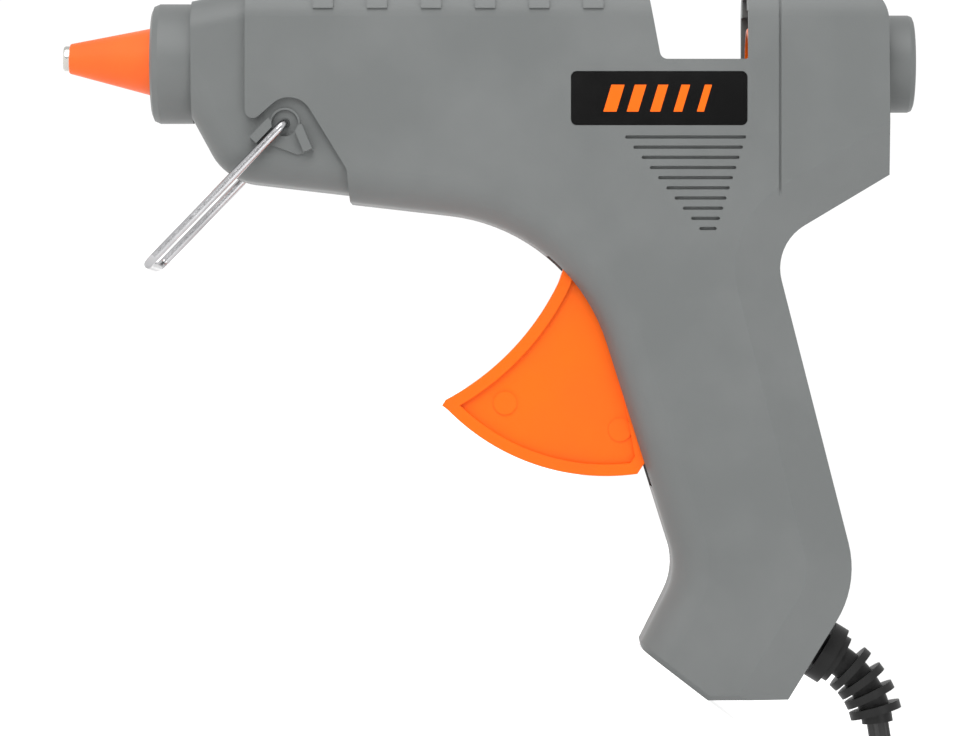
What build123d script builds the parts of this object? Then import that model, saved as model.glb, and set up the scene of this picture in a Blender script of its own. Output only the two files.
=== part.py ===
"""Hot-melt glue gun for 11 mm sticks, standing on its folding wire stand and the foot of its grip.

Millimetres.  The row frame has +Z up, the nozzle towards -X and its origin at the centre of the foot
face.  The gun itself is drawn on the plane `side`, which leans with the barrel: u runs back along the
glue stick from the nozzle tip, v runs up across it, and n runs from the middle towards the left side.
"""

import os
from math import asin, atan2, cos, hypot, radians, sin, tan

from build123d import *

os.makedirs("parts", exist_ok=True)

# ---- Driving dimensions of the housing ----
half_depth = 14.5  # middle plane to the side face of the body
nose_depth = 13.0  # middle plane to the side face of the slimmer nose
top = 15.5  # top of the body above the stick axis
wall = 2.2  # thickness of the moulded walls
barrel_round = 7.0  # rounding of the long edges of the barrel and the finger side of the grip
nose_round = 6.0
ridge_width = 9.0  # bevel along the back of the grip, measured on the side face
ridge_depth = 3.0
foot_mid = (121.4, -121.1)
foot_length = 16.9
foot_bevel = 1.0
body_front = 36.9  # front edge of the body, where it steps down to the nose
nose_front = 26.1
nose_top = 14.3
rear_face = 164.1
hopper_floor = 0.1
hopper_left = 116.0
hopper_left_low = 118.9
hopper_right = 136.1

# ---- Stick feed ----
stick_bore = 6.0  # radius of the way for an 11.2 mm stick
carriage_radius = 7.3
carriage_front = 136.5
carriage_length = 21.0
sliding_gap = 0.04
running_gap = 0.05
moving_gap = 0.3
feed_pin = (138.2, -10.0)
feed_pin_radius = 1.3
lever_pivot = (133.7, -30.0)
lever_toe = (116.5, -63.0)
lever_toe_radius = 2.6
lever_half = 2.2
cross_pin_radius = 2.0

# ---- Trigger ----
trigger_pivot = (108.2, -38.2)
trigger_reach = 44.0  # radius of the trigger's underside about its pivot
trigger_half = 8.0
trigger_apex = (99.9, -40.7)
trigger_back_angle = -79.7
trigger_back_offset = 0.8
slot_half = trigger_half + 0.4

# ---- Wire stand ----
wire_radius = 0.9
stand_pivot = (44.8, -12.5)
stand_leg = 38.7
stand_forward = 44.06  # degrees the leg points forward of straight down
stand_fold = 23.0  # degrees behind straight down when it is folded back
stand_half = 15.0
stand_bend = 2.0

# ---- Nozzle and heating chamber, measured back from the nozzle tip ----
nozzle_tilt = 2.07  # degrees the nozzle points up from the stick axis
nozzle_cross = 30.3  # where the nozzle's axis crosses the stick axis
collar_start = 17.8
collar_radius = 11.95
chamber_start = 31.0
chamber_end = 74.0
chamber_radius = 8.6
valve_seat = 39.5
ball_radius = 2.3
ball_at = 37.6

# ---- Mains lead ----
cord_radius = 2.2
gland_base = (150.26, -116.26)
gland_exit = (162.7, -131.6)
hank_start = 80.0  # along X, clear behind the foot
hank_length = 84.0
hank_width = 31.0
hank_height = 9.4
hank_lane = 13.2  # middle of the hank's outermost run
plug_gap = 22.0
plug_length = 35.0
plug_width = 34.0
plug_height = 13.6
pin_radius = 2.0
pin_length = 19.0
pin_spacing = 19.0

# ---- The lean of the gun: the crossbar's underside and the foot face lie on one floor ----
crossbar = (
    stand_pivot[0] - stand_leg * sin(radians(stand_forward)),
    stand_pivot[1] - stand_leg * cos(radians(stand_forward)),
)
span = (foot_mid[0] - crossbar[0], crossbar[1] - foot_mid[1])
lean = atan2(span[1], span[0]) - asin(wire_radius / hypot(*span))
side = Plane(
    origin=(
        foot_mid[1] * sin(lean) - foot_mid[0] * cos(lean),
        0,
        -foot_mid[0] * sin(lean) - foot_mid[1] * cos(lean),
    ),
    x_dir=(cos(lean), 0, sin(lean)),
    z_dir=(0, -1, 0),
)
foot_step = (foot_length / 2 * cos(lean), -foot_length / 2 * sin(lean))
foot_front = (foot_mid[0] - foot_step[0], foot_mid[1] - foot_step[1])
foot_back = (foot_mid[0] + foot_step[0], foot_mid[1] + foot_step[1])
stick_axis = Axis(side.origin, side.x_dir)
cross_start = side.from_local_coords((nozzle_cross, 0, 0))
jet_back = side.x_dir * cos(radians(nozzle_tilt)) - side.y_dir * sin(radians(nozzle_tilt))
jet = Plane(origin=cross_start - jet_back * nozzle_cross, x_dir=jet_back, z_dir=side.z_dir)
jet_axis = Axis(jet.origin, jet.x_dir)


# ---- Planes and shapes used by several pieces ----
def side_at(u, v, n=0.0):
    """The side plane moved to a point of the gun."""
    return Plane(side.from_local_coords((u, v, n)), x_dir=side.x_dir, z_dir=side.z_dir)


def across(u, v=0.0, n=0.0):
    """A plane square to the barrel, facing its rear, with y up and x towards the right side."""
    return Plane(side.from_local_coords((u, v, n)), x_dir=-side.z_dir, z_dir=side.x_dir)


def turned(profile, axis=stick_axis, plane=side, mode=Mode.ADD):
    """Add a turned shape, given the distance along its axis and the radius at each corner."""
    with BuildSketch(plane) as half_section:
        with BuildLine():
            Polyline(*profile, close=True)
        make_face()
    revolve(half_section.sketch, axis=axis, mode=mode)


def round_bar(u, v, radius, low, high, mode=Mode.ADD):
    """Add a round bar across the gun, from n = low to n = high."""
    with BuildSketch(side_at(u, v, low)) as disc:
        Circle(radius)
    extrude(disc.sketch, amount=high - low, mode=mode)


def prism(points, low, high, mode=Mode.ADD, radii=None):
    """Add a straight-sided shape drawn on the side plane, from n = low to n = high."""
    with BuildSketch(side.offset(low)) as face:
        with BuildLine():
            if radii:
                FilletPolyline(*points, radius=radii, close=True)
            else:
                Polyline(*points, close=True)
        make_face()
    extrude(face.sketch, amount=high - low, mode=mode)


gland_out = Vector(13.8, -8.5, 0).normalized()
gland_point = Vector(*gland_base, 0)


def gland_at(distance):
    """A plane square to the strain relief's base, at a distance out from the grip."""
    spot = gland_point + gland_out * distance
    return Plane(
        side.from_local_coords(tuple(spot)),
        x_dir=side.z_dir,
        z_dir=side.x_dir * gland_out.X + side.y_dir * gland_out.Y,
    )


def finish(builder, name):
    """Name a finished piece and write its file."""
    builder.part.label = name
    export_step(builder.part, f"parts/{name}.step")


# ---- Housing outlines ----
def body_outline(inset=0.0):
    """Side view of the body, rear box and grip."""
    with BuildSketch(side) as outline:
        with BuildLine():
            FilletPolyline((57.5, -27.9), (101.0, -32.9), (122.4, -100.6), foot_front, radius=[37.0, 13.0])
            Polyline(foot_front, foot_back, (144.1, foot_back[1]))
            FilletPolyline(
                (144.1, foot_back[1]),
                (158.1, -103.5),
                (141.0, -36.4),
                (rear_face, -22.6),
                radius=[20.0, 9.8],
            )
            FilletPolyline(
                (rear_face, -22.6),
                (rear_face - 0.4, top),
                (body_front, top),
                (body_front, -13.5),
                (46.7, -4.9),
                (57.0, -21.6),
                (57.5, -27.9),
                radius=[8.0, 0, 1.6, 4.8, 2.0],
            )
        make_face()
        if inset:
            offset(amount=-inset, kind=Kind.INTERSECTION)
    return outline.sketch


def nose_outline(inset=0.0):
    """Side view of the nose, which carries the stand."""
    with BuildSketch(side) as outline:
        with BuildLine():
            FilletPolyline(
                (nose_front, 11.95),
                (body_front, nose_top),
                (62.0, nose_top),
                (62.0, -26.7),
                (32.7, -23.3),
                (nose_front, -11.2),
                close=True,
                radius=[0, 6.0, 0, 0, 10.5, 0],
            )
        make_face()
        if inset:
            offset(amount=-inset, kind=Kind.INTERSECTION)
    return outline.sketch


def barrel_band(start, end, proud, sunk, low):
    """Part of a band round the top of the body, from `sunk` below its skin to `proud` above it."""
    with BuildSketch(across(start)) as band:
        for grow, mode in ((proud, Mode.ADD), (-sunk, Mode.SUBTRACT)):
            with BuildLine():
                FilletPolyline(
                    (0, top + grow),
                    (-half_depth - grow, top + grow),
                    (-half_depth - grow, -140),
                    (0, -140),
                    close=True,
                    radius=[0, barrel_round + grow, 0, 0],
                )
            make_face(mode=mode)
        with Locations((0, low)):
            Rectangle(4 * half_depth, 100, align=(Align.CENTER, Align.MIN), mode=Mode.INTERSECT)
    return extrude(band.sketch, amount=end - start, mode=Mode.PRIVATE)


def local_middle(edge):
    """The middle of an edge in the gun's own u, v and n."""
    return side.to_local_coords(edge @ 0.5)


def on_finger_side(edge):
    """Whether an edge is the long curved one in front of the trigger."""
    middle = local_middle(edge)
    return edge.length > 30 and hypot(middle.X - 96, middle.Y + 38) < 5


# ---- One half of the housing, before its walls are hollowed ----
with BuildPart() as body_block:
    extrude(body_outline(), amount=half_depth)
    with BuildSketch(across(0)) as barrel_section:
        with BuildLine():
            FilletPolyline(
                (0, top),
                (-half_depth, top),
                (-half_depth, -140),
                (0, -140),
                close=True,
                radius=[0, barrel_round, 0, 0],
            )
        make_face()
    extrude(barrel_section.sketch, amount=200, mode=Mode.INTERSECT)
    skin_edges = body_block.edges().filter_by(lambda e: abs(local_middle(e).Z - half_depth) < 0.001)
    finger_edge = skin_edges.filter_by(on_finger_side)
    fillet(finger_edge, barrel_round)
    skin_face = body_block.faces().filter_by(
        lambda f: abs(side.to_local_coords(f.center()).Z - half_depth) < 0.001
    )
    skin_edges = body_block.edges().filter_by(lambda e: abs(local_middle(e).Z - half_depth) < 0.001)
    back_edge = skin_edges.filter_by(lambda e: e.length > 50 and local_middle(e).X > 140)
    chamfer(back_edge, ridge_width, ridge_depth, reference=skin_face.sort_by(SortBy.AREA)[-1])
    skin_edges = body_block.edges().filter_by(lambda e: abs(local_middle(e).Z - half_depth) < 0.001)
    foot_edges = skin_edges.filter_by(lambda e: local_middle(e).Y < -118)
    chamfer(foot_edges, foot_bevel)

with BuildPart() as nose_block:
    extrude(nose_outline(), amount=nose_depth)
    nose_edges = nose_block.edges().filter_by(lambda e: abs(local_middle(e).Z - nose_depth) < 0.001)
    fillet(nose_edges.filter_by(lambda e: nose_front + 0.5 < local_middle(e).X < 61), nose_round)

screw_places = ((39.5, -19.0), (86.0, -25.5), (107.6, 10.2), (153.5, -18.5), (137.5, -92.0), (131.0, -116.5))
vent_count = 10
vent_pitch = 2.0
vent_height = 0.65
vent_depth = 0.9  # grooves, not holes through the wall
pad_count = 6
pad_pitch = 10.65
pad_first = 52.3
pad_width = 4.0
label_left, label_right, label_top, label_bottom = 101.1, 135.9, -2.3, -13.0
label_depth = 0.6


def stand_direction(angle):
    """Unit step from the stand's pivot, forward of straight down by an angle in degrees."""
    return (-sin(radians(angle)), -cos(radians(angle)))


def stand_arm(angle, gap_side):
    """Corners of the raised arm beside a leg position; gap_side is +1 in front of it, -1 behind."""
    along = stand_direction(angle)
    away = (along[1] * gap_side, -along[0] * gap_side)
    near = wire_radius + moving_gap
    far = near + 1.8
    return (
        (stand_pivot[0] + along[0] * 1.5 + away[0] * near, stand_pivot[1] + along[1] * 1.5 + away[1] * near),
        (stand_pivot[0] + along[0] * 6.8 + away[0] * near, stand_pivot[1] + along[1] * 6.8 + away[1] * near),
        (stand_pivot[0] + along[0] * 6.8 + away[0] * far, stand_pivot[1] + along[1] * 6.8 + away[1] * far),
        (stand_pivot[0] + along[0] * 1.5 + away[0] * far, stand_pivot[1] + along[1] * 1.5 + away[1] * far),
    )


# ---- Ribs, bosses and the stick's trough, inside one half of the housing ----
boss_radius = 4.0
rib_reach = half_depth
with BuildPart() as inner_walls:
    for rib_start, rib_end, rib_low in (
        (64.0, 66.0, -13.0),
        (94.0, 96.0, -13.0),
        (112.6, 115.2, -14.0),
        (144.0, 148.8, -13.0),
        (157.0, 158.4, -13.0),
    ):
        prism(((rib_start, rib_low), (rib_end, rib_low), (rib_end, top), (rib_start, top)), 0, rib_reach)
    prism(((115.2, -9.6), (137.0, -9.6), (137.0, hopper_floor), (115.2, hopper_floor)), 0, rib_reach)
    turned(((60, 0), (60, chamber_radius + 0.05), (72, chamber_radius + 0.05), (72, 0)), mode=Mode.SUBTRACT)
    prism(((60, -20), (70, -20), (70, -5), (60, -5)), 0, 8.5, mode=Mode.SUBTRACT)
    turned(((90, 0), (90, 7.55), (100, 7.55), (100, 0)), mode=Mode.SUBTRACT)
    turned(((110, 0), (110, 6.4), (117, 6.4), (117, 0)), mode=Mode.SUBTRACT)
    turned(((115.2, 0), (115.2, 7.65), (137.0, 7.65), (137.0, 0)), mode=Mode.SUBTRACT)
    turned(((143, 0), (143, 10.55), (150, 10.55), (150, 0)), mode=Mode.SUBTRACT)
    turned(((156, 0), (156, 7.9), (159, 7.9), (159, 0)), mode=Mode.SUBTRACT)
    prism(((125.0, -12), (137.0, -12), (137.0, -4), (125.0, -4)), 0, 5.3, mode=Mode.SUBTRACT)
    for place in screw_places:
        round_bar(*place, boss_radius, 0, rib_reach)
    round_bar(*lever_pivot, boss_radius, 4.5, rib_reach)
    round_bar(*trigger_pivot, boss_radius, slot_half, rib_reach)
    turned(((100, 0), (100, 6.4), (116, 6.4), (116, 0)), mode=Mode.SUBTRACT)
    add(body_block.part + nose_block.part, mode=Mode.INTERSECT)

# ---- One half of the housing, with everything that both halves share ----
with BuildPart() as shell_half:
    add(body_block.part)
    add(nose_block.part)
    extrude(body_outline(wall), amount=8.0, mode=Mode.SUBTRACT)
    extrude(body_outline(wall + 3.3), amount=half_depth - wall, mode=Mode.SUBTRACT)
    extrude(nose_outline(wall), amount=6.5, mode=Mode.SUBTRACT)
    extrude(nose_outline(wall + 3.0), amount=nose_depth - wall, mode=Mode.SUBTRACT)
    add(inner_walls.part)
    prism(
        (
            (hopper_left, top + 2),
            (hopper_left, top),
            (hopper_left_low, hopper_floor),
            (hopper_right, hopper_floor),
            (hopper_right, top + 2),
        ),
        -1,
        half_depth + 2,
        mode=Mode.SUBTRACT,
        radii=[0, 0, 1.5, 0.5, 0],
    )
    prism(
        ((96.5, -38.3), (112, -36.5), (112.3, -46), (124, -84.3), (100, -84.3), (84, -60)),
        -1,
        slot_half,
        mode=Mode.SUBTRACT,
    )
    round_bar(*trigger_pivot, 5.2, -1, slot_half, mode=Mode.SUBTRACT)
    turned(((20, 0), (20, 9.0), (28.3, 9.0), (28.3, 10.5), (32, 10.5), (32, 0)), mode=Mode.SUBTRACT)
    inlet_seat = ((158.4, 0), (158.4, 11.3), (160.9, 11.3), (160.9, 9.75), (170, 9.75), (170, 0))
    turned(inlet_seat, mode=Mode.SUBTRACT)
    for pad in range(pad_count):
        pad_middle = pad_first + pad * pad_pitch
        add(barrel_band(pad_middle - pad_width / 2, pad_middle + pad_width / 2, 0.55, 0.5, 10.1))
    add(barrel_band(142.05, 142.55, 1.0, 0.45, -28.6), mode=Mode.SUBTRACT)
    prism(
        (
            (label_left, label_bottom),
            (label_right, label_bottom),
            (label_right, label_top),
            (label_left, label_top),
        ),
        half_depth - label_depth,
        half_depth + 1,
        mode=Mode.SUBTRACT,
        radii=[1.2, 1.2, 1.2, 1.2],
    )
    for vent in range(vent_count):
        fraction = vent / (vent_count - 1)
        vent_v = -15.3 - vent * vent_pitch
        vent_left = 111.8 + fraction * 14.6
        vent_right = 135.6 - fraction * 5.8
        vent_middle = (vent_left + vent_right) / 2
        with BuildSketch(side_at(vent_middle, vent_v, half_depth - vent_depth)) as vent_slot:
            SlotOverall(vent_right - vent_left, vent_height)
        extrude(vent_slot.sketch, amount=vent_depth + 1, mode=Mode.SUBTRACT)
    round_bar(*stand_pivot, 3.0, nose_depth - wall - 1.5, nose_depth + 0.7)
    fan_front = stand_direction(stand_forward)
    fan_back = stand_direction(-stand_fold)
    prism(
        (
            (stand_pivot[0] - 2.4, stand_pivot[1]),
            (stand_pivot[0] + fan_front[0] * 6.8 - 2.0, stand_pivot[1] + fan_front[1] * 6.8 + 2.0),
            (stand_pivot[0] + fan_back[0] * 6.8, stand_pivot[1] + fan_back[1] * 6.8),
            (stand_pivot[0] + fan_back[0] * 6.8 + 3.0, stand_pivot[1] + fan_back[1] * 6.8 + 1.0),
            (stand_pivot[0] + 2.4, stand_pivot[1]),
        ),
        nose_depth - 0.5,
        nose_depth + 0.7,
    )
    prism(stand_arm(stand_forward, 1), nose_depth - 0.5, nose_depth + 2.6)
    prism(stand_arm(-stand_fold, -1), nose_depth - 0.5, nose_depth + 2.6)
    round_bar(*stand_pivot, 2.6, nose_depth - 0.1, nose_depth + 5, mode=Mode.SUBTRACT)
    round_bar(*stand_pivot, wire_radius + running_gap, 0, nose_depth + 1, mode=Mode.SUBTRACT)
    round_bar(*lever_pivot, cross_pin_radius, 0, 9.2, mode=Mode.SUBTRACT)
    round_bar(*trigger_pivot, cross_pin_radius, 0, 11.2, mode=Mode.SUBTRACT)
    for low, high, radius in ((-4.0, -1.75, 5.1), (-2.0, 2.0, 3.45)):
        with BuildSketch(gland_at(low)) as gland_hole:
            Circle(radius)
        extrude(gland_hole.sketch, amount=high - low, mode=Mode.SUBTRACT)

# ---- Left and right shells ----
screw_radius = 1.3
screw_head_radius = 2.6
screw_head_at = 9.0  # depth of the screw head's seat from the middle plane
with BuildPart() as left_shell:
    add(shell_half.part)
    for place in screw_places:
        round_bar(*place, screw_radius + 0.05, 0, 9.5, mode=Mode.SUBTRACT)
finish(left_shell, "left_shell")

with BuildPart() as right_shell:
    mirror(shell_half.part, about=Plane.XZ)
    for place in screw_places:
        round_bar(*place, screw_radius + 0.3, -half_depth, 0, mode=Mode.SUBTRACT)
        round_bar(*place, screw_head_radius + 0.2, -half_depth - 1, -screw_head_at, mode=Mode.SUBTRACT)
finish(right_shell, "right_shell")

# ---- Screws that close the housing ----
with BuildPart() as housing_screws:
    for place in screw_places:
        round_bar(*place, screw_radius, -screw_head_at, 8.0)
        round_bar(*place, screw_head_radius, -screw_head_at - 2.0, -screw_head_at)
        round_bar(*place, 0.9, -screw_head_at - 2.0, -screw_head_at - 0.8, mode=Mode.SUBTRACT)
finish(housing_screws, "housing_screws")

# ---- Badges set into the sides ----
badge_thickness = 0.45
badge_gap = 0.1


def badge_block():
    """Left badge, lying in its recess."""
    prism(
        (
            (label_left + badge_gap, label_bottom + badge_gap),
            (label_right - badge_gap, label_bottom + badge_gap),
            (label_right - badge_gap, label_top - badge_gap),
            (label_left + badge_gap, label_top - badge_gap),
        ),
        half_depth - label_depth,
        half_depth - label_depth + badge_thickness,
        radii=[1.1, 1.1, 1.1, 1.1],
    )


with BuildPart() as badge_left:
    badge_block()
finish(badge_left, "badge_left")

with BuildPart() as badge_right:
    mirror(badge_left.part, about=Plane.XZ)
finish(badge_right, "badge_right")

# ---- Front ring and nozzle ----
ring_flange = 10.3
with BuildPart() as front_ring:
    turned(
        (
            (collar_start + 1.6, collar_radius),
            (nose_front - 0.1, collar_radius),
            (nose_front - 0.1, 8.9),
            (28.4, 8.9),
            (28.4, ring_flange),
            (30.2, ring_flange),
            (30.2, 7.9),
            (collar_start, 7.9),
            (collar_start, collar_radius - 1.6),
            (collar_start + 0.45, collar_radius - 0.5),
        )
    )
finish(front_ring, "front_ring")

with BuildPart() as nozzle:
    turned(
        (
            (0, 0.9),
            (0, 2.3),
            (0.3, 2.5),
            (1.6, 2.5),
            (18.6, 5.2),
            (20.4, 5.2),
            (20.4, 7.2),
            (26.0, 7.2),
            (26.0, 5.4),
            (valve_seat, 5.4),
            (valve_seat, ball_radius + moving_gap),
            (28.0, ball_radius + moving_gap),
            (28.0, 1.5),
            (5.0, 1.5),
        ),
        axis=jet_axis,
        plane=jet,
    )
    hexagon_plane = Plane(jet.from_local_coords((20.4, 0, 0)), x_dir=jet.z_dir, z_dir=jet.x_dir)
    with BuildSketch(hexagon_plane) as hexagon:
        Circle(8.0)
        RegularPolygon(radius=6.3, side_count=6, major_radius=False, mode=Mode.SUBTRACT)
    extrude(hexagon.sketch, amount=5.6, mode=Mode.SUBTRACT)
finish(nozzle, "nozzle")

with BuildPart() as nozzle_sleeve:
    turned(
        (
            (1.7, 2.54),
            (1.3, 2.6),
            (1.2, 2.8),
            (1.4, 3.0),
            (17.8, 6.77),
            (20.2, 7.2),
            (20.2, 5.4),
            (18.6, 5.25),
        ),
        axis=jet_axis,
        plane=jet,
    )
finish(nozzle_sleeve, "nozzle_sleeve")

with BuildPart() as valve_ball:
    with Locations(jet.from_local_coords((ball_at, 0, 0))):
        Sphere(ball_radius)
finish(valve_ball, "valve_ball")

spring_wire = 0.25
with BuildPart() as valve_spring:
    with BuildLine() as valve_coil:
        Helix(
            pitch=1.25,
            height=ball_at - ball_radius - 28.9,
            radius=1.9,
            center=jet.from_local_coords((28.3, 0, 0)),
            direction=jet.x_dir,
        )
    with BuildSketch(valve_coil.line ^ 0):
        Circle(spring_wire)
    sweep(is_frenet=True)
finish(valve_spring, "valve_spring")

# ---- Heating chamber ----
pocket_low, pocket_high = -13.2, -9.8
pocket_half = 6.2
with BuildPart() as heating_chamber:
    turned(
        (
            (chamber_start, 0),
            (chamber_start, chamber_radius),
            (70.0, chamber_radius),
            (70.0, 7.0),
            (chamber_end + 5.0, 7.0),
            (chamber_end + 5.0, 0),
        )
    )
    prism(((44, -14.6), (68, -14.6), (68, -5), (44, -5)), -7.6, 7.6)
    pocket = ((43, pocket_low), (69, pocket_low), (69, pocket_high), (43, pocket_high))
    prism(pocket, -pocket_half, pocket_half, mode=Mode.SUBTRACT)
    turned(((30, 0), (30, 5.45), (valve_seat, 5.45), (valve_seat, 0)), jet_axis, jet, mode=Mode.SUBTRACT)
    turned(((39, 0), (39, 1.8), (46, 1.8), (46, 0)), jet_axis, jet, mode=Mode.SUBTRACT)
    turned(((44, 0), (44, 1.8), (53, 5.9), (80, 5.9), (80, 0)), mode=Mode.SUBTRACT)
finish(heating_chamber, "heating_chamber")

with BuildPart() as heater_element:
    prism(((45, -13.0), (67, -13.0), (67, -10.0), (45, -10.0)), -6.0, 6.0)
finish(heater_element, "heater_element")

with BuildPart() as heater_clip:
    prism(((47, -15.4), (56, -15.4), (56, -8), (47, -8)), -8.3, 8.3)
    prism(((46, -14.65), (57, -14.65), (57, -7), (46, -7)), -7.65, 7.65, mode=Mode.SUBTRACT)
finish(heater_clip, "heater_clip")

with BuildPart() as stick_sleeve:
    turned(
        (
            (70.6, 7.05),
            (70.6, 8.4),
            (78.0, 8.4),
            (80.6, 7.5),
            (101.0, 7.5),
            (102.0, stick_bore + 0.6),
            (102.0, stick_bore),
            (79.2, stick_bore),
            (79.2, 7.05),
        )
    )
finish(stick_sleeve, "stick_sleeve")

with BuildPart() as sleeve_clamp:
    turned(((72.5, 8.42), (72.5, 9.1), (76.5, 9.1), (76.5, 8.42)))
    prism(((72.5, 8.8), (76.5, 8.8), (76.5, 12.0), (72.5, 12.0)), -1.6, -0.6)
    prism(((72.5, 8.8), (76.5, 8.8), (76.5, 12.0), (72.5, 12.0)), 0.6, 1.6)
    round_bar(74.5, 10.8, 0.8, -2.6, 2.6)
finish(sleeve_clamp, "sleeve_clamp")

# ---- Rear guide, stick inlet and feed carriage ----
with BuildPart() as carriage_guide:
    inner = carriage_radius + sliding_gap
    turned(((143.3, inner), (143.3, 10.5), (149.6, 10.5), (149.6, inner)))
finish(carriage_guide, "carriage_guide")

inlet_end = 169.6
inlet_radius = 9.71
with BuildPart() as stick_inlet:
    turned(
        (
            (159.0, stick_bore),
            (159.0, 11.2),
            (160.8, 11.2),
            (160.8, inlet_radius),
            (inlet_end - 1.0, inlet_radius),
            (inlet_end - 0.3, inlet_radius - 0.3),
            (inlet_end, inlet_radius - 1.0),
            (inlet_end, stick_bore + 0.8),
            (inlet_end - 0.8, stick_bore),
        )
    )
finish(stick_inlet, "stick_inlet")

cheek_near, cheek_far = 2.6, 4.6
gripper_pin_place = (139.7, 9.0)
with BuildPart() as feed_carriage:
    turned(
        (
            (carriage_front + 0.5, stick_bore),
            (carriage_front, stick_bore + 0.4),
            (carriage_front, carriage_radius - 0.4),
            (carriage_front + 0.4, carriage_radius),
            (carriage_front + carriage_length, carriage_radius),
            (carriage_front + carriage_length, stick_bore),
        )
    )
    for low, high in ((cheek_near, cheek_far), (-cheek_far, -cheek_near)):
        prism(((136.8, -12.0), (140.6, -12.0), (141.4, -5.8), (136.8, -5.8)), low, high, radii=[1.6, 1.6, 0, 0])
    for low, high in ((2.3, 4.0), (-4.0, -2.3)):
        prism(((137.4, 5.6), (142.4, 5.6), (141.6, 10.8), (137.8, 10.8)), low, high, radii=[0, 0, 1.5, 1.5])
    turned(((130, 0), (130, stick_bore), (150, stick_bore), (150, 0)), mode=Mode.SUBTRACT)
    prism(((137.5, 4), (142.3, 4), (142.3, 12), (137.5, 12)), -2.25, 2.25, mode=Mode.SUBTRACT)
    round_bar(*gripper_pin_place, 1.0, -5, 5, mode=Mode.SUBTRACT)
    round_bar(*feed_pin, feed_pin_radius, -cheek_far, cheek_far)
finish(feed_carriage, "feed_carriage")

with BuildPart() as gripper:
    prism(
        (
            (138.0, 10.2),
            (141.4, 10.2),
            (141.9, 7.0),
            (141.6, 5.7),
            (140.9, 6.6),
            (140.4, 5.6),
            (139.7, 6.6),
            (139.2, 5.7),
            (138.3, 7.0),
        ),
        -1.9,
        1.9,
    )
    round_bar(*gripper_pin_place, 1.0, -3, 3, mode=Mode.SUBTRACT)
finish(gripper, "gripper")

with BuildPart() as gripper_pin:
    round_bar(*gripper_pin_place, 0.97, -4.2, 4.2)
finish(gripper_pin, "gripper_pin")

# ---- Feed lever: a fork on the carriage's pin above, a rounded toe behind the trigger below ----
fork_length = 21.5
fork_half = 4.0
fork_slot_half = feed_pin_radius + 0.35
toe_step = (lever_toe[0] - lever_pivot[0], lever_toe[1] - lever_pivot[1])
toe_reach = hypot(*toe_step)
toe_along = (toe_step[0] / toe_reach, toe_step[1] / toe_reach)
pin_step = (feed_pin[0] - lever_pivot[0], feed_pin[1] - lever_pivot[1])
pin_reach = hypot(*pin_step)
pin_along = (pin_step[0] / pin_reach, pin_step[1] / pin_reach)


def along_arm(along, distance, sideways):
    """A point beside one arm of the feed lever."""
    return (
        lever_pivot[0] + along[0] * distance - along[1] * sideways,
        lever_pivot[1] + along[1] * distance + along[0] * sideways,
    )


with BuildPart() as feed_lever:
    round_bar(*lever_pivot, 5.0, -4.2, 4.2)
    round_bar(*lever_toe, lever_toe_radius, -lever_half, lever_half)
    prism(
        (
            along_arm(toe_along, 0, -4.6),
            along_arm(toe_along, toe_reach, -lever_toe_radius),
            along_arm(toe_along, toe_reach, lever_toe_radius),
            along_arm(toe_along, 0, 4.6),
        ),
        -lever_half,
        lever_half,
    )
    prism(
        (
            along_arm(pin_along, 0, -fork_half),
            along_arm(pin_along, fork_length, -fork_half),
            along_arm(pin_along, fork_length, fork_half),
            along_arm(pin_along, 0, fork_half),
        ),
        -lever_half,
        lever_half,
    )
    prism(
        (
            along_arm(pin_along, pin_reach - 3.0, -fork_slot_half),
            along_arm(pin_along, pin_reach + 5.0, -fork_slot_half),
            along_arm(pin_along, pin_reach + 5.0, fork_slot_half),
            along_arm(pin_along, pin_reach - 3.0, fork_slot_half),
        ),
        -5,
        5,
        mode=Mode.SUBTRACT,
    )
    round_bar(*lever_pivot, cross_pin_radius + running_gap, -5, 5, mode=Mode.SUBTRACT)
finish(feed_lever, "feed_lever")

with BuildPart() as lever_pin:
    round_bar(*lever_pivot, cross_pin_radius, -9.0, 9.0)
finish(lever_pin, "lever_pin")

# ---- Trigger ----
back_along = (cos(radians(trigger_back_angle)), sin(radians(trigger_back_angle)))


def trigger_back(distance):
    """A point on the trigger's back edge."""
    return (
        trigger_pivot[0] + back_along[0] * distance - back_along[1] * trigger_back_offset,
        trigger_pivot[1] + back_along[1] * distance + back_along[0] * trigger_back_offset,
    )


def trigger_outline(inset=0.0):
    """Side view of the trigger."""
    under_middle = radians(-104.0)
    back_foot = trigger_back(trigger_reach - 2.6)
    under_back = (trigger_pivot[0] + 6.2, trigger_pivot[1] - sqrt_leg(trigger_reach, 6.2))
    tip_low = (trigger_pivot[0] - 31.4, trigger_pivot[1] - sqrt_leg(trigger_reach, 31.4))
    with BuildSketch(side) as outline:
        with BuildLine():
            Polyline(trigger_apex, (98.9, -43.6))
            ThreePointArc((98.9, -43.6), (91.3, -55.2), (76.4, -67.1))
            Polyline((76.4, -67.1), (75.7, -68.2), tip_low)
            ThreePointArc(
                tip_low,
                (
                    trigger_pivot[0] + trigger_reach * cos(under_middle),
                    trigger_pivot[1] + trigger_reach * sin(under_middle),
                ),
                under_back,
            )
            Polyline(
                under_back,
                back_foot,
                trigger_back(4.0),
                (112.2, -38.4),
                (109.2, -34.2),
                (105.6, -34.8),
                trigger_apex,
            )
        make_face()
        if inset:
            offset(amount=-inset, kind=Kind.INTERSECTION)
    return outline.sketch


def sqrt_leg(long_side, other):
    """The third side of a right triangle."""
    return (long_side**2 - other**2) ** 0.5


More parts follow.
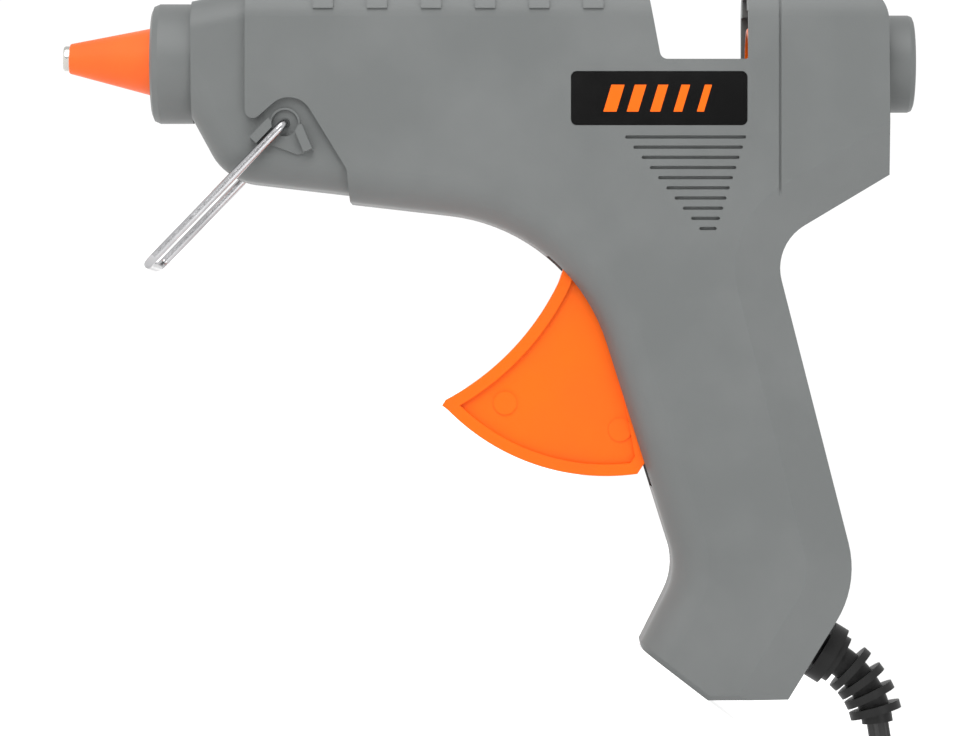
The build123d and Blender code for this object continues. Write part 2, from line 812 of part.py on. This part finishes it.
web_recess = 1.2
with BuildPart() as trigger:
    extrude(trigger_outline(), amount=trigger_half, both=True)
    web = trigger_outline(2.3)
    for low in (trigger_half - web_recess, -trigger_half - 1):
        web_face = web.moved(Location(side.z_dir * low))
        extrude(web_face, amount=web_recess + 1, mode=Mode.SUBTRACT)
    for place in ((88.2, -67.7), (111.0, -73.0)):
        round_bar(*place, 2.3, -trigger_half + web_recess - 0.3, trigger_half - web_recess + 0.3)
    round_bar(*trigger_pivot, 3.9, -trigger_half, trigger_half)
    round_bar(*trigger_pivot, cross_pin_radius + running_gap, -9, 9, mode=Mode.SUBTRACT)
finish(trigger, "trigger")

with BuildPart() as trigger_pin:
    round_bar(*trigger_pivot, cross_pin_radius, -11.0, 11.0)
finish(trigger_pin, "trigger_pin")

# ---- Return spring between the lever and the back of the grip ----
return_wire = 0.4
return_coil = 3.2
spring_seat = along_arm(toe_along, 26.0, 4.6)
spring_wall = (143.6, -60.2)
spring_step = (spring_wall[0] - spring_seat[0], spring_wall[1] - spring_seat[1])
with BuildPart() as return_spring:
    start = side.from_local_coords((*spring_seat, 0))
    heading = side.x_dir * spring_step[0] + side.y_dir * spring_step[1]
    with BuildLine() as return_helix:
        Helix(
            pitch=2.6,
            height=hypot(*spring_step) - 2 * return_wire,
            radius=return_coil,
            center=start,
            direction=heading,
        )
    with BuildSketch(return_helix.line ^ 0):
        Circle(return_wire)
    sweep(is_frenet=True)
finish(return_spring, "return_spring")

# ---- Folding wire stand ----
stub_end = 10.4
with BuildPart() as wire_stand:
    with BuildLine() as stand_line:
        stand_points = [
            side.from_local_coords((u, v, n))
            for (u, v), n in (
                (stand_pivot, stub_end),
                (stand_pivot, stand_half),
                (crossbar, stand_half),
                (crossbar, -stand_half),
                (stand_pivot, -stand_half),
                (stand_pivot, -stub_end),
            )
        ]
        FilletPolyline(*stand_points, radius=stand_bend)
    with BuildSketch(stand_line.line ^ 0):
        Circle(wire_radius)
    sweep()
finish(wire_stand, "wire_stand")

# ---- Strain relief and the lead inside the grip ----
bend_start = gland_point + gland_out * 5.0
bend_chord = Vector(*gland_exit, 0) - bend_start
bend_rise = bend_chord.length / 2 * tan(radians(gland_out.get_angle(bend_chord) / 2))
bend_left = Vector(-bend_chord.Y, bend_chord.X, 0).normalized()
bend_middle = bend_start + bend_chord / 2 + bend_left * bend_rise
with BuildPart() as strain_relief:
    for low, high, radius in ((-3.6, -1.8, 5.0), (-1.8, 1.2, 3.4), (1.2, 4.1, 6.1), (4.1, 5.4, 4.95)):
        with BuildSketch(gland_at(low)) as disc:
            Circle(radius)
        extrude(disc.sketch, amount=high - low)
    with BuildLine(side) as gland_bend:
        ThreePointArc((bend_start.X, bend_start.Y), (bend_middle.X, bend_middle.Y), gland_exit)
    with BuildSketch(gland_bend.line ^ 0) as core:
        Circle(3.1)
    sweep(core.sketch, path=gland_bend.line)
    for rib in range(4):
        rib_plane = Plane(gland_bend.line ^ (0.22 + 0.205 * rib))
        with BuildSketch(rib_plane.offset(-0.8)) as rib_disc:
            Circle(5.2)
        extrude(rib_disc.sketch, amount=1.6)
finish(strain_relief, "strain_relief")
gland_path = gland_bend.line
print("gland end direction", gland_path % 1, "exit", gland_path @ 1)

# ---- Lead from the strain relief to the heater ----
tail_radius = 2.1
lead_radius = 0.9
lead_out = 9.7  # the leads run up the grip beside the trigger and lever
tail_end = gland_point - gland_out * 13.0
with BuildPart() as cord_tail:
    with BuildSketch(gland_at(-13.0)) as disc:
        Circle(tail_radius)
    extrude(disc.sketch, amount=13.0 - 3.6)
finish(cord_tail, "cord_tail")

with BuildPart() as cord_clamp:
    with BuildSketch(gland_at(-9.5)) as clamp_face:
        Rectangle(15.0, 6.4)
        Circle(tail_radius + 0.02, mode=Mode.SUBTRACT)
        with Locations((-5.2, 0), (5.2, 0)):
            Circle(1.35, mode=Mode.SUBTRACT)
    extrude(clamp_face.sketch, amount=4.0)
finish(cord_clamp, "cord_clamp")

with BuildPart() as cord_clamp_screws:
    with BuildSketch(gland_at(-10.8)) as screw_heads:
        with Locations((-5.2, 0), (5.2, 0)):
            Circle(2.2)
    extrude(screw_heads.sketch, amount=1.3)
    with BuildSketch(gland_at(-9.5)) as screw_shanks:
        with Locations((-5.2, 0), (5.2, 0)):
            Circle(1.3)
    extrude(screw_shanks.sketch, amount=5.0)
finish(cord_clamp_screws, "cord_clamp_screws")


def lead_route(sign):
    """Corners of one heater lead, from its splice at the cord to the heater."""
    return [
        side.from_local_coords((u, v, n * sign))
        for u, v, n in (
            (tail_end.X - 8.2, tail_end.Y + 5.1, 1.1),
            (tail_end.X - 12.0, tail_end.Y + 9.0, 3.0),
            (130.5, -88.0, lead_out),
            (121.5, -52.0, lead_out),
            (119.5, -24.0, lead_out),
            (106.0, -19.0, lead_out),
            (76.0, -18.0, 6.0),
            (71.0, -11.5, 3.5),
            (67.1, -11.5, 3.5),
        )
    ]


for lead_name, sign in (("live_lead", 1), ("neutral_lead", -1)):
    with BuildPart() as lead:
        with BuildLine() as lead_line:
            FilletPolyline(*lead_route(sign), radius=[3.0, 6.0, 8.0, 8.0, 8.0, 3.0, 1.6])
        with BuildSketch(lead_line.line ^ 0):
            Circle(lead_radius)
        sweep()
    finish(lead, lead_name)

with BuildPart() as splice_caps:
    for sign in (1, -1):
        with BuildSketch(gland_at(-21.0)) as cap:
            with Locations((1.1 * sign, 0)):
                Circle(1.05)
        extrude(cap.sketch, amount=7.8)
finish(splice_caps, "splice_caps")

# ---- Mains lead outside the gun, on the floor that the gun stands on ----
exit_point = gland_path @ 1
exit_heading = gland_path % 1
landing = exit_point + exit_heading * ((exit_point.Z - cord_radius) / -exit_heading.Z)
hank_round = hank_width / 2
cord_route = [
    exit_point,
    landing,
    Vector(hank_start - 6.0, -5.5, cord_radius),
    Vector(hank_start + hank_round, -hank_lane, cord_radius),
]

cord_radii = []
for before, corner, after in zip(cord_route, cord_route[1:], cord_route[2:]):
    arriving = corner - before
    leaving = after - corner
    half_turn = radians(arriving.get_angle(leaving) / 2)
    cord_radii.append(0.45 * min(arriving.length, leaving.length) / tan(half_turn))
hank_end = hank_start + hank_length
with BuildPart() as cord_hank:
    with BuildSketch() as hank_plan:
        with Locations(((hank_start + hank_end) / 2, 0)):
            SlotOverall(hank_length, hank_width)
    extrude(hank_plan.sketch, amount=hank_height)
    fillet(cord_hank.faces().sort_by(Axis.Z)[-1].edges(), 2.0)
finish(cord_hank, "cord_hank")

with BuildPart() as power_cord:
    with BuildLine() as cord_line:
        FilletPolyline(*cord_route, radius=cord_radii)
    with BuildSketch(cord_line.line ^ 0):
        Circle(cord_radius)
    sweep()
    add(cord_hank.part, mode=Mode.SUBTRACT)
finish(power_cord, "power_cord")
print("cord radii", [round(radius, 1) for radius in cord_radii])

tie_width = 5.0
tie_thickness = 0.8
with BuildPart() as cord_tie:
    with BuildSketch(Plane.YZ.offset((hank_start + hank_end - tie_width) / 2)) as tie_section:
        with Locations((0, (hank_height + tie_thickness) / 2)):
            Rectangle(hank_width + 2 * tie_thickness, hank_height + tie_thickness)
    extrude(tie_section.sketch, amount=tie_width)
    add(cord_hank.part, mode=Mode.SUBTRACT)
finish(cord_tie, "cord_tie")

plug_start = hank_end + plug_gap
plug_axis = plug_height / 2
with BuildPart() as cord_end:
    with BuildLine() as end_line:
        FilletPolyline(
            (hank_end - hank_round, -hank_lane, plug_axis),
            (hank_end - 2.0, -hank_lane + 2.0, plug_axis),
            (plug_start - 9.0, 0, plug_axis),
            (plug_start, 0, plug_axis),
            radius=[12.0, 12.0],
        )
    with BuildSketch(end_line.line ^ 0):
        Circle(cord_radius)
    sweep()
    add(cord_hank.part, mode=Mode.SUBTRACT)
finish(cord_end, "cord_end")

plug_face = plug_start + plug_length
with BuildPart() as plug_body:
    with BuildSketch() as plug_plan:
        with BuildLine():
            FilletPolyline(
                (plug_start, -4.5),
                (plug_start + 9, -6.0),
                (plug_start + 19, -plug_width / 2 + 2),
                (plug_face, -plug_width / 2),
                (plug_face, plug_width / 2),
                (plug_start + 19, plug_width / 2 - 2),
                (plug_start + 9, 6.0),
                (plug_start, 4.5),
                close=True,
                radius=[1.5, 10, 5, 3, 3, 5, 10, 1.5],
            )
        make_face()
    extrude(plug_plan.sketch, amount=plug_height)
    plug_rims = plug_body.faces().filter_by(Axis.Z).edges()
    chamfer(plug_rims, 1.5)
finish(plug_body, "plug_body")

with BuildPart() as plug_pins:
    with BuildSketch(Plane.YZ.offset(plug_face)) as pin_section:
        with Locations((-pin_spacing / 2, plug_axis), (pin_spacing / 2, plug_axis)):
            Circle(pin_radius)
    extrude(pin_section.sketch, amount=pin_length)
    tips = plug_pins.faces().sort_by(Axis.X)[-2:].edges()
    fillet(tips, 1.2)
finish(plug_pins, "plug_pins")
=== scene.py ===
"""Final scene of the glue gun: materials, the flexible lead, small details, studio and camera."""

from math import cos, pi, radians, sin

import bmesh
import bpy
from mathutils import Matrix, Vector


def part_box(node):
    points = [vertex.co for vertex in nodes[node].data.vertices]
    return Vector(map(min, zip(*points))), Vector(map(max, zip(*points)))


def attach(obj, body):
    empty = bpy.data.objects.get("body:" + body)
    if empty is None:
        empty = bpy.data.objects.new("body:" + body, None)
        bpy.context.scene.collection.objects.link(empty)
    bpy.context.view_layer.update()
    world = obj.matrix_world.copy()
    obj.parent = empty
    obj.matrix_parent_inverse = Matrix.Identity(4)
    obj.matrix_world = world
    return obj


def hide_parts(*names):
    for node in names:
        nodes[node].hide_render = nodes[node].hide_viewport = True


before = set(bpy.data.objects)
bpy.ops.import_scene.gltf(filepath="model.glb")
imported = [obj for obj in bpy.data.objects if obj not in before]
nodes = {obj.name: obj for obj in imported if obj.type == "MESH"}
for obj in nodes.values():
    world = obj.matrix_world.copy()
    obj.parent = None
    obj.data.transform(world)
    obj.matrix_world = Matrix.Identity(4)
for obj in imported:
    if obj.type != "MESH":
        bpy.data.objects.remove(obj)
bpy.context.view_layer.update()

# ---- The gun's own frame: u runs back along the stick, v up across it, n towards the left side ----
LEAN = radians(37.5787)
FOOT_U, FOOT_V = 0.1214, -0.1211
ALONG = Vector((cos(LEAN), 0, sin(LEAN)))
UP = Vector((-sin(LEAN), 0, cos(LEAN)))
LEFT = Vector((0, -1, 0))
GUN = Matrix((ALONG, UP, LEFT)).transposed().to_4x4()
GUN.translation = -ALONG * FOOT_U - UP * FOOT_V
MM = 0.001


def at(u, v, n=0.0):
    """A point of the gun, from u, v and n in millimetres, in the row frame in metres."""
    return GUN @ Vector((u * MM, v * MM, n * MM))


# ---- Material helpers ----
NOISE_ROUGHNESS = 0.55
FINE_DETAIL, CLOUD_DETAIL = 2.0, 4.0
PLASTIC_CLOUD, TARNISH_CLOUD = 38.0, 60.0
DRAWING_MARKS = 900.0
TARNISH = 0.72  # how dark tarnish is against clean metal


def new_material(name, colour, roughness, metallic=0.0, coat=0.0, specular=0.5):
    material = bpy.data.materials.new(name)
    material.use_nodes = True
    shader = material.node_tree.nodes["Principled BSDF"]
    shader.inputs["Base Color"].default_value = (*colour, 1)
    shader.inputs["Roughness"].default_value = roughness
    shader.inputs["Metallic"].default_value = metallic
    shader.inputs["Coat Weight"].default_value = coat
    shader.inputs["Coat Roughness"].default_value = 0.12
    shader.inputs["Specular IOR Level"].default_value = specular
    return material


def add_node(material, kind, **settings):
    node = material.node_tree.nodes.new(kind)
    for key, value in settings.items():
        setattr(node, key, value)
    return node


def object_space(material):
    """Coordinates fixed to the piece, turned so that their X runs along the barrel."""
    links = material.node_tree.links
    coordinates = add_node(material, "ShaderNodeTexCoord")
    mapping = add_node(material, "ShaderNodeMapping")
    mapping.inputs["Rotation"].default_value = (0, LEAN, 0)
    links.new(coordinates.outputs["Object"], mapping.inputs["Vector"])
    return mapping.outputs["Vector"]


def noise(material, where, scale, detail):
    texture = add_node(material, "ShaderNodeTexNoise")
    texture.inputs["Scale"].default_value = scale
    texture.inputs["Detail"].default_value = detail
    texture.inputs["Roughness"].default_value = NOISE_ROUGHNESS
    material.node_tree.links.new(where, texture.inputs["Vector"])
    return texture.outputs["Fac"]


def ramp(material, value, low, high, low_out, high_out):
    spread = add_node(material, "ShaderNodeMapRange")
    spread.inputs["From Min"].default_value = low
    spread.inputs["From Max"].default_value = high
    spread.inputs["To Min"].default_value = low_out
    spread.inputs["To Max"].default_value = high_out
    material.node_tree.links.new(value, spread.inputs["Value"])
    return spread.outputs["Result"]


def bump(material, height, strength, distance):
    node = add_node(material, "ShaderNodeBump")
    node.inputs["Strength"].default_value = strength
    node.inputs["Distance"].default_value = distance
    links = material.node_tree.links
    links.new(height, node.inputs["Height"])
    links.new(node.outputs["Normal"], material.node_tree.nodes["Principled BSDF"].inputs["Normal"])


def mix_colours(material, factor, first, second):
    node = add_node(material, "ShaderNodeMix", data_type="RGBA")
    node.inputs[6].default_value = (*first, 1)
    node.inputs[7].default_value = (*second, 1)
    links = material.node_tree.links
    links.new(factor, node.inputs[0])
    links.new(node.outputs[2], material.node_tree.nodes["Principled BSDF"].inputs["Base Color"])


def moulded(name, colour, worn, roughness, grain=2600.0, depth=0.00004, coat=0.0, specular=0.5):
    """Moulded plastic: a spark-eroded grain, and slight cloudiness in colour and gloss."""
    material = new_material(name, colour, roughness, coat=coat, specular=specular)
    where = object_space(material)
    fine = noise(material, where, grain, FINE_DETAIL)
    cloud = noise(material, where, PLASTIC_CLOUD, CLOUD_DETAIL)
    mix_colours(material, ramp(material, cloud, 0.42, 0.72, 0.0, 1.0), colour, worn)
    rough = ramp(material, cloud, 0.3, 0.7, roughness - 0.05, roughness + 0.07)
    material.node_tree.links.new(rough, material.node_tree.nodes["Principled BSDF"].inputs["Roughness"])
    bump(material, fine, 0.35, depth)
    return material


def metal(name, colour, roughness, depth=0.00001):
    """Bare or plated metal with fine drawing marks and slight tarnish."""
    material = new_material(name, colour, roughness, metallic=1.0)
    where = object_space(material)
    marks = noise(material, where, DRAWING_MARKS, FINE_DETAIL)
    tarnish = noise(material, where, TARNISH_CLOUD, CLOUD_DETAIL)
    darker = tuple(channel * TARNISH for channel in colour)
    mix_colours(material, ramp(material, tarnish, 0.45, 0.75, 0.0, 1.0), colour, darker)
    rough = ramp(material, marks, 0.3, 0.7, roughness - 0.04, roughness + 0.06)
    material.node_tree.links.new(rough, material.node_tree.nodes["Principled BSDF"].inputs["Roughness"])
    bump(material, marks, 0.2, depth)
    return material


HOUSING = moulded("grey_housing", (0.104, 0.110, 0.109), (0.120, 0.126, 0.125), 0.48, specular=0.35)
BADGE = moulded(
    "badge_black",
    (0.004, 0.004, 0.004),
    (0.006, 0.006, 0.006),
    0.14,
    depth=0.000004,
    coat=0.3,
    specular=0.3,
)
ORANGE = moulded("orange_plastic", (0.78, 0.112, 0.002), (0.72, 0.10, 0.002), 0.36, specular=0.2)
SILICONE = moulded("orange_silicone", (0.78, 0.110, 0.007), (0.70, 0.09, 0.006), 0.42, specular=0.3)
RUBBER = moulded("black_rubber", (0.004, 0.004, 0.004), (0.007, 0.007, 0.007), 0.42, specular=0.25)
CORD = moulded("cord_pvc", (0.008, 0.008, 0.008), (0.012, 0.012, 0.012), 0.34, grain=1500.0, specular=0.4)
SLEEVE = moulded("red_silicone", (0.34, 0.035, 0.02), (0.25, 0.028, 0.018), 0.55)
GREY = moulded("grey_nylon", (0.13, 0.13, 0.135), (0.10, 0.10, 0.105), 0.5)
BROWN = moulded("brown_lead", (0.12, 0.045, 0.02), (0.10, 0.04, 0.02), 0.4)
BLUE = moulded("blue_lead", (0.02, 0.08, 0.35), (0.02, 0.07, 0.3), 0.4)
CERAMIC = moulded("ceramic_white", (0.62, 0.60, 0.55), (0.5, 0.48, 0.44), 0.55)
WIRE = metal("bright_wire", (0.44, 0.44, 0.45), 0.20)
STEEL = metal("spring_steel", (0.56, 0.56, 0.58), 0.24)
NICKEL = metal("nickel_brass", (0.46, 0.45, 0.42), 0.26)
CASTING = metal("cast_aluminium", (0.60, 0.60, 0.61), 0.45, depth=0.00005)

FINISHES = {
    HOUSING: ("left_shell", "right_shell", "front_ring", "stick_inlet"),
    BADGE: ("badge_left", "badge_right"),
    ORANGE: ("trigger", "feed_carriage"),
    SILICONE: ("nozzle_sleeve",),
    RUBBER: ("strain_relief", "plug_body"),
    CORD: ("power_cord", "cord_hank", "cord_end", "cord_tail"),
    SLEEVE: ("stick_sleeve",),
    GREY: ("carriage_guide", "feed_lever", "cord_clamp", "splice_caps", "cord_tie"),
    BROWN: ("live_lead",),
    BLUE: ("neutral_lead",),
    CERAMIC: ("heater_element",),
    WIRE: ("wire_stand",),
    STEEL: (
        "heater_clip",
        "housing_screws",
        "cord_clamp_screws",
        "valve_ball",
        "valve_spring",
        "return_spring",
        "gripper",
        "gripper_pin",
        "lever_pin",
        "trigger_pin",
        "sleeve_clamp",
    ),
    NICKEL: ("nozzle", "plug_pins"),
    CASTING: ("heating_chamber",),
}
for material, names in FINISHES.items():
    for name in names:
        nodes[name].data.materials.clear()
        nodes[name].data.materials.append(material)


# ---- Mesh helpers ----
def mesh_piece(name, build, material, body="gun"):
    """Make a piece from a bmesh in the row frame and let it ride on a body."""
    mesh = bpy.data.meshes.new(name)
    shape = bmesh.new()
    build(shape)
    bmesh.ops.recalc_face_normals(shape, faces=shape.faces)
    shape.to_mesh(mesh)
    shape.free()
    piece = bpy.data.objects.new(name, mesh)
    bpy.context.scene.collection.objects.link(piece)
    mesh.materials.append(material)
    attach(piece, body)
    return piece


def add_plate(shape, outline, low, high):
    """A flat plate between two n values, from its outline in u and v."""
    bottom = [shape.verts.new(at(u, v, low)) for u, v in outline]
    upper = [shape.verts.new(at(u, v, high)) for u, v in outline]
    shape.faces.new(bottom)
    shape.faces.new(upper)
    for i in range(len(outline)):
        j = (i + 1) % len(outline)
        shape.faces.new((bottom[i], bottom[j], upper[j], upper[i]))


# ---- Generic mark on the badges: slanted bars, no lettering ----
BADGE_FACE = 14.35  # middle plane to the badge's outer face
MARK_LOW, MARK_HIGH = -10.3, -5.0
MARK_SUNK, MARK_RAISED = 0.05, 0.06
BAR_COUNT = 5
BAR_FIRST, BAR_PITCH, BAR_SLANT = 107.5, 4.6, 1.6
BAR_WIDTH, BAR_THINNING = 2.6, 0.3


def badge_mark(side_sign):
    """A builder for the bars on one badge; side_sign is +1 on the left side and -1 on the right."""

    def build(shape):
        for bar in range(BAR_COUNT):
            left = BAR_FIRST + bar * BAR_PITCH
            width = BAR_WIDTH - bar * BAR_THINNING
            outline = (
                (left, MARK_LOW),
                (left + width, MARK_LOW),
                (left + width + BAR_SLANT, MARK_HIGH),
                (left + BAR_SLANT, MARK_HIGH),
            )
            low = side_sign * (BADGE_FACE - MARK_SUNK)
            high = side_sign * (BADGE_FACE + MARK_RAISED)
            add_plate(shape, outline, low, high)

    return build


for side_name, side_sign in (("left", 1), ("right", -1)):
    mark = mesh_piece(f"badge_mark_{side_name}", badge_mark(side_sign), ORANGE)

# ---- The lead: one flexible cord from the gland through its hank to the plug ----
CORD_WIDTH = 0.0044
CORD_RADIUS = CORD_WIDTH / 2
gland_exit = at(162.7, -131.6)
hank_low, hank_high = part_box("cord_hank")
plug_low, plug_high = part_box("plug_body")

# Where the lead reaches the floor, as the CAD has it.
LANDING = Vector((0.05366, 0, CORD_RADIUS))
ROUTE = [
    gland_exit,
    LANDING,
    Vector((hank_low.x - 0.006, -0.0055, CORD_RADIUS)),
]
CORD_THICKNESS = 0.0023
LANE_GAP = 0.0001
LANE_STEP = CORD_THICKNESS + LANE_GAP
OUTER_LANE = hank_high.y - CORD_THICKNESS / 2 - LANE_GAP
POINTS_PER_FOLD = 6
RETURN_SHARES = (0.35, 0.7)  # places of the points along a straight run
LANES = (0, 1, 2, 2, 1, 0)
LAYERS = (0, 0, 0, 1, 1, 1)


def hank_points():
    """Turns of the flat lead on its edge: three lanes inwards, then three outwards on top of them."""
    middle = (hank_low.x + hank_high.x) / 2
    half_run = (hank_high.x - hank_low.x) / 2 - hank_high.y
    points = []
    for turn, (lane, layer) in enumerate(zip(LANES, LAYERS)):
        radius = OUTER_LANE - lane * LANE_STEP
        following = min(turn + 1, len(LANES) - 1)
        next_radius = OUTER_LANE - LANES[following] * LANE_STEP
        height = CORD_RADIUS + layer * CORD_WIDTH
        next_height = CORD_RADIUS + LAYERS[following] * CORD_WIDTH
        for share in (0.0, *RETURN_SHARES):
            points.append(Vector((middle + half_run * (2 * share - 1), -radius, height)))
        for step in range(POINTS_PER_FOLD):
            angle = -pi / 2 + pi * step / (POINTS_PER_FOLD - 1)
            x = middle + half_run + radius * cos(angle)
            points.append(Vector((x, radius * sin(angle), height)))
        for share in RETURN_SHARES:
            between = radius + (next_radius - radius) * share
            z = height + (next_height - height) * share
            points.append(Vector((middle + half_run * (1 - 2 * share), between, z)))
        for step in range(POINTS_PER_FOLD - 1):
            angle = pi / 2 + pi * step / (POINTS_PER_FOLD - 1)
            x = middle - half_run + next_radius * cos(angle)
            points.append(Vector((x, next_radius * sin(angle), next_height)))
    last_height = CORD_RADIUS + CORD_WIDTH
    for x in (middle - half_run, middle, middle + half_run):
        points.append(Vector((x, -OUTER_LANE, last_height)))
    return points


plug_axis = (plug_low.z + plug_high.z) / 2
END_ROUTE = [
    Vector((hank_high.x - 0.002, -OUTER_LANE + 0.002, plug_axis)),
    Vector((plug_low.x - 0.009, 0, plug_axis)),
    Vector((plug_low.x + 0.001, 0, plug_axis)),
]


STEPS_PER_CORE = 8
GROOVE_ANGLE = pi / 3.2  # how far each core's outline runs down into the groove


def twin_profile():
    """Section of the flat twin lead: two cores side by side with a groove between them."""
    curve = bpy.data.curves.new("twin_profile", "CURVE")
    curve.dimensions = "2D"
    curve.fill_mode = "NONE"
    spline = curve.splines.new("POLY")
    core = CORD_THICKNESS / 2
    centre = CORD_RADIUS - core
    outline = []
    for step in range(STEPS_PER_CORE + 1):
        angle = -GROOVE_ANGLE + (pi + 2 * GROOVE_ANGLE) * step / STEPS_PER_CORE
        outline.append((core * cos(angle), centre + core * sin(angle)))
    outline += [(-x, -y) for x, y in outline]
    spline.points.add(len(outline) - 1)
    for point, (x, y) in zip(spline.points, outline):
        point.co = (x, y, 0, 1)
    spline.use_cyclic_u = True
    profile = bpy.data.objects.new("twin_profile", curve)
    bpy.context.scene.collection.objects.link(profile)
    return profile


def curve_mesh(source):
    """The mesh that Blender makes of a curve, with its bevel if it has one."""
    bpy.context.view_layer.update()
    graph = bpy.context.evaluated_depsgraph_get()
    return bpy.data.meshes.new_from_object(source.evaluated_get(graph))


SPLINE_STEPS = 6


def lead_tube(points):
    """The lead as a mesh tube of twin section, and the points of the smooth spline that it follows."""
    curve = bpy.data.curves.new("lead_route", "CURVE")
    curve.dimensions = "3D"
    curve.twist_mode = "Z_UP"
    curve.resolution_u = SPLINE_STEPS
    spline = curve.splines.new("NURBS")
    spline.points.add(len(points) - 1)
    for target, place in zip(spline.points, points):
        target.co = (*place, 1)
    spline.order_u = 3
    spline.use_endpoint_u = True
    route = bpy.data.objects.new("lead_route", curve)
    bpy.context.scene.collection.objects.link(route)
    path = [vertex.co.copy() for vertex in curve_mesh(route).vertices]
    profile = twin_profile()
    curve.bevel_mode = "OBJECT"
    curve.bevel_object = profile
    curve.use_fill_caps = True
    mesh = curve_mesh(route)
    bpy.data.objects.remove(route)
    bpy.data.objects.remove(profile)
    mesh.materials.clear()
    mesh.materials.append(CORD)
    for face in mesh.polygons:
        face.use_smooth = True
    lead = bpy.data.objects.new("mains_lead", mesh)
    bpy.context.scene.collection.objects.link(lead)
    return lead, path


mains_lead, lead_path = lead_tube(ROUTE + hank_points() + END_ROUTE)
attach(mains_lead, "gun")
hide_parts("power_cord", "cord_hank", "cord_end")


# ---- Studio ----
FLOOR_SIZE = 6.0
FLOOR_GLOW = 0.72
SURROUND = 1.04
FRONT_SHADE = 0.10
SHADE_FULL, SHADE_NONE = -0.96, -0.55  # how squarely a direction points at the near side


def studio_floor():
    mesh = bpy.data.meshes.new("studio_floor")
    shape = bmesh.new()
    bmesh.ops.create_grid(shape, x_segments=1, y_segments=1, size=FLOOR_SIZE / 2)
    shape.to_mesh(mesh)
    shape.free()
    floor = bpy.data.objects.new("studio_floor", mesh)
    bpy.context.scene.collection.objects.link(floor)
    paint = new_material("floor_white", (0.6, 0.6, 0.6), 0.8)
    shader = paint.node_tree.nodes["Principled BSDF"]
    shader.inputs["Emission Color"].default_value = (1, 1, 1, 1)
    shader.inputs["Emission Strength"].default_value = FLOOR_GLOW
    mesh.materials.append(paint)


def studio_surround():
    """White all round, and darker on the near side, where the room behind the camera is unlit."""
    world = bpy.data.worlds.new("studio")
    bpy.context.scene.world = world
    world.use_nodes = True
    tree = world.node_tree
    background = tree.nodes["Background"]
    coordinates = tree.nodes.new("ShaderNodeTexCoord")
    split = tree.nodes.new("ShaderNodeSeparateXYZ")
    fade = tree.nodes.new("ShaderNodeMapRange")
    fade.interpolation_type = "SMOOTHSTEP"
    fade.inputs["From Min"].default_value = SHADE_FULL
    fade.inputs["From Max"].default_value = SHADE_NONE
    fade.inputs["To Min"].default_value = FRONT_SHADE
    fade.inputs["To Max"].default_value = SURROUND
    tree.links.new(coordinates.outputs["Generated"], split.inputs["Vector"])
    tree.links.new(split.outputs["Y"], fade.inputs["Value"])
    tree.links.new(fade.outputs["Result"], background.inputs["Strength"])
    background.inputs["Color"].default_value = (1, 1, 1, 1)


studio_floor()
studio_surround()

VIEW_CENTRE = at(85.2, -60.76)
CAMERA_DISTANCE = 0.9
PHOTO_WIDTH = 0.196
SENSOR = 36.0
NEAREST_SEEN, FARTHEST_SEEN = 0.05, 20


def area_light(name, place, size, power):
    """A soft rectangular light aimed at the middle of the view."""
    data = bpy.data.lights.new(name, "AREA")
    data.shape = "RECTANGLE"
    data.size, data.size_y = size
    data.energy = power
    lamp = bpy.data.objects.new(name, data)
    lamp.location = place
    lamp.rotation_euler = (VIEW_CENTRE - place).to_track_quat("-Z", "Y").to_euler()
    bpy.context.scene.collection.objects.link(lamp)


# Name, place from the middle of the view, size in metres and power in watts.
SOFTBOXES = (
    ("top_softbox", UP * 0.9 + LEFT * 0.5, (0.9, 0.5), 5.0),
    ("front_softbox", Vector((-0.6, -1.0, 0.45)), (0.6, 0.6), 6.0),
    ("fill_softbox", Vector((0.7, -1.0, 0.25)), (0.6, 0.6), 4.0),
)
for light_name, offset, size, power in SOFTBOXES:
    area_light(light_name, VIEW_CENTRE + offset, size, power)

camera_data = bpy.data.cameras.new("photo_camera")
camera_data.sensor_width = SENSOR
camera_data.lens = SENSOR * CAMERA_DISTANCE / PHOTO_WIDTH
camera_data.clip_start = NEAREST_SEEN
camera_data.clip_end = FARTHEST_SEEN
camera = bpy.data.objects.new("photo_camera", camera_data)
bpy.context.scene.collection.objects.link(camera)
camera_matrix = Matrix((ALONG, UP, LEFT)).transposed().to_4x4()
camera_matrix.translation = VIEW_CENTRE + LEFT * CAMERA_DISTANCE
camera.matrix_world = camera_matrix
bpy.context.scene.camera = camera

bpy.context.scene.view_settings.view_transform = "Standard"
bpy.context.scene.view_settings.look = "None"

bpy.context.view_layer.update()
